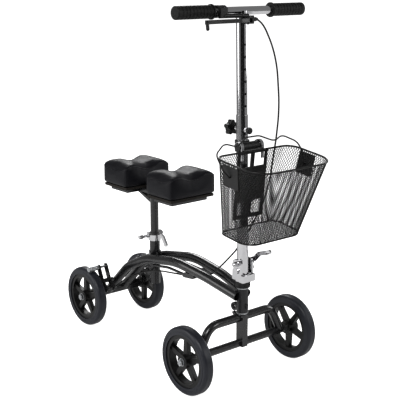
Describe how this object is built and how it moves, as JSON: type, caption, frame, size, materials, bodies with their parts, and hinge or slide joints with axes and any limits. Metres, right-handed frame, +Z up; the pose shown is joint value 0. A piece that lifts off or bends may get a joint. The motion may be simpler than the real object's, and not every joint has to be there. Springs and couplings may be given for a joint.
{
  "type": "knee scooter",
  "caption": "Steerable knee scooter: arched twin-tube frame on wheels, height-adjustable split knee rest, folding telescopic column with brake lever, and a lift-off mesh basket.",
  "frame": {"origin": "centre of the bounding box, on the floor", "axes": "+X forward, the way the scooter rolls; +Y to the rider's left; +Z up"},
  "size_m": [0.91, 0.4454, 1.0293],
  "materials": {
    "frame_paint": "semi-gloss metallic black",
    "head_paint": "satin dark grey",
    "chrome": "polished",
    "steel": "satin zinc",
    "black_plastic": "fine grained",
    "wheel_plastic": "satin moulded",
    "tyre": "matte dark grey",
    "pad_vinyl": "matte grained vinyl",
    "pad_board": "plain",
    "grip_foam": "matte",
    "basket_wire": "black coated",
    "cable": "smooth sheath"
  },
  "bodies": {
    "frame": {"arch_tube_left": "frame_paint", "arch_tube_right": "frame_paint", "lower_stays": "frame_paint", "head_tube": "head_paint", "headset_bushes": "steel", "seat_sleeve": "frame_paint", "seat_clamp": "chrome", "rear_axle_beam": "frame_paint", "rear_axle_hardware": "steel", "brake_pivots": "frame_paint", "brake_cable_frame": "cable", "cable_clip": "black_plastic"},
    "seat": {"seat_post": "frame_paint", "seat_cradle": "frame_paint", "pad_trays": "frame_paint", "pad_boards": "pad_board", "front_pad": "pad_vinyl", "rear_pad": "pad_vinyl"},
    "seat_lever": {"seat_clamp_lever": "chrome"},
    "fork": {"fork_stem": "frame_paint", "fork_arch_tube": "frame_paint", "fork_lower_beam": "frame_paint", "front_axle_hardware": "steel", "steerer_tube": "steel", "headset_collar": "black_plastic", "hinge_base": "chrome", "fold_pivot_bolt": "chrome", "brake_cable_fork": "cable"},
    "column": {"lower_tube": "chrome", "fold_lock_skewer": "chrome", "basket_bracket": "black_plastic", "brake_cable_column": "cable"},
    "fold_lever": {"fold_lock_lever": "chrome"},
    "lock_plunger": {"lock_plunger": "black_plastic"},
    "star_knob": {"star_knob": "black_plastic"},
    "handlebar": {"upper_tube": "chrome", "handlebar": "chrome", "grip_left": "grip_foam", "grip_right": "grip_foam", "lever_perch": "black_plastic", "brake_cable_handlebar": "cable"},
    "brake_blade": {"brake_blade": "black_plastic"},
    "brake_left": {"brake_arm_left": "frame_paint", "brake_shoe_left": "steel"},
    "brake_right": {"brake_arm_right": "frame_paint", "brake_shoe_right": "steel"},
    "basket": {"basket_tub": "basket_wire", "basket_rim": "basket_wire", "basket_panel": "black_plastic", "basket_hooks": "chrome", "basket_side_plates": "black_plastic"},
    "bail": {"bail_handle": "basket_wire"},
    "wheel_front_left": {"tyre_front_left": "tyre", "hub_front_left": "wheel_plastic"},
    "wheel_front_right": {"tyre_front_right": "tyre", "hub_front_right": "wheel_plastic"},
    "wheel_rear_left": {"tyre_rear_left": "tyre", "hub_rear_left": "wheel_plastic"},
    "wheel_rear_right": {"tyre_rear_right": "tyre", "hub_rear_right": "wheel_plastic"}
  },
  "joints": [
    {"name": "steering", "type": "hinge", "parent": "frame", "child": "fork", "pos_m": [0.24997, 0, 0.19], "axis": [0, 0, 1], "range_deg": [-40, 40], "deforming": ["brake_cable_fork"]},
    {"name": "column_fold", "type": "hinge", "parent": "fork", "child": "column", "pos_m": [0.24997, 0, 0.312], "axis": [0, 1, 0], "range_deg": [-36, 0], "deforming": ["brake_cable_column"]},
    {"name": "handle_height", "type": "slide", "parent": "column", "child": "handlebar", "axis": [-0.0262, 0, 0.9997], "range_m": [-0.224, 0], "deforming": ["brake_cable_handlebar"]},
    {"name": "lock_plunger_slide", "type": "slide", "parent": "column", "child": "lock_plunger", "axis": [0.9997, 0, 0.0262], "range_m": [0, 0.005]},
    {"name": "star_knob_turn", "type": "hinge", "parent": "column", "child": "star_knob", "pos_m": [0.19975, 0, 0.70182], "axis": [0.9997, 0, 0.0262], "range_deg": [0, 180]},
    {"name": "fold_lever_turn", "type": "hinge", "parent": "column", "child": "fold_lever", "pos_m": [0.24945, 0.035, 0.33199], "axis": [-0.5017, 0, 0.8651], "range_deg": [0, 90]},
    {"name": "brake_lever", "type": "hinge", "parent": "handlebar", "child": "brake_blade", "pos_m": [0.25732, 0, 0.98642], "axis": [0.0262, 0, -0.9997], "range_deg": [0, 12], "stiffness_Nm_per_rad": 1.5},
    {"name": "basket_lift", "type": "slide", "parent": "column", "child": "basket", "axis": [0.1305, 0, 0.9914], "range_m": [0, 0.08]},
    {"name": "bail_swing", "type": "hinge", "parent": "basket", "child": "bail", "pos_m": [0.34497, 0, 0.607], "axis": [0, 1, 0], "range_deg": [0, 98]},
    {"name": "seat_height", "type": "slide", "parent": "frame", "child": "seat", "axis": [0, 0, 1], "range_m": [-0.09, 0.035]},
    {"name": "seat_lever_turn", "type": "hinge", "parent": "frame", "child": "seat_lever", "pos_m": [-0.17093, 0.036, 0.318], "axis": [0.7295, 0, 0.6839], "range_deg": [0, 90]},
    {"name": "brake_rocker_left", "type": "hinge", "parent": "frame", "child": "brake_left", "pos_m": [-0.30603, 0.0775, 0.152], "axis": [0, -1, 0], "range_deg": [0, 4]},
    {"name": "brake_rocker_right", "type": "hinge", "parent": "frame", "child": "brake_right", "pos_m": [-0.30603, -0.0775, 0.152], "axis": [0, -1, 0], "range_deg": [0, 4], "deforming": ["brake_cable_frame"]},
    {"name": "spin_front_left", "type": "hinge", "parent": "fork", "child": "wheel_front_left", "pos_m": [0.24497, 0.195, 0.095], "axis": [0, 1, 0], "continuous": true},
    {"name": "spin_front_right", "type": "hinge", "parent": "fork", "child": "wheel_front_right", "pos_m": [0.24497, -0.195, 0.095], "axis": [0, 1, 0], "continuous": true},
    {"name": "spin_rear_left", "type": "hinge", "parent": "frame", "child": "wheel_rear_left", "pos_m": [-0.36003, 0.115, 0.095], "axis": [0, 1, 0], "continuous": true},
    {"name": "spin_rear_right", "type": "hinge", "parent": "frame", "child": "wheel_rear_right", "pos_m": [-0.36003, -0.115, 0.095], "axis": [0, 1, 0], "continuous": true}
  ],
  "couplings": [
    {"joint": "brake_rocker_left", "follows": "brake_lever", "ratio": 0.3},
    {"joint": "brake_rocker_right", "follows": "brake_lever", "ratio": 0.3}
  ]
}
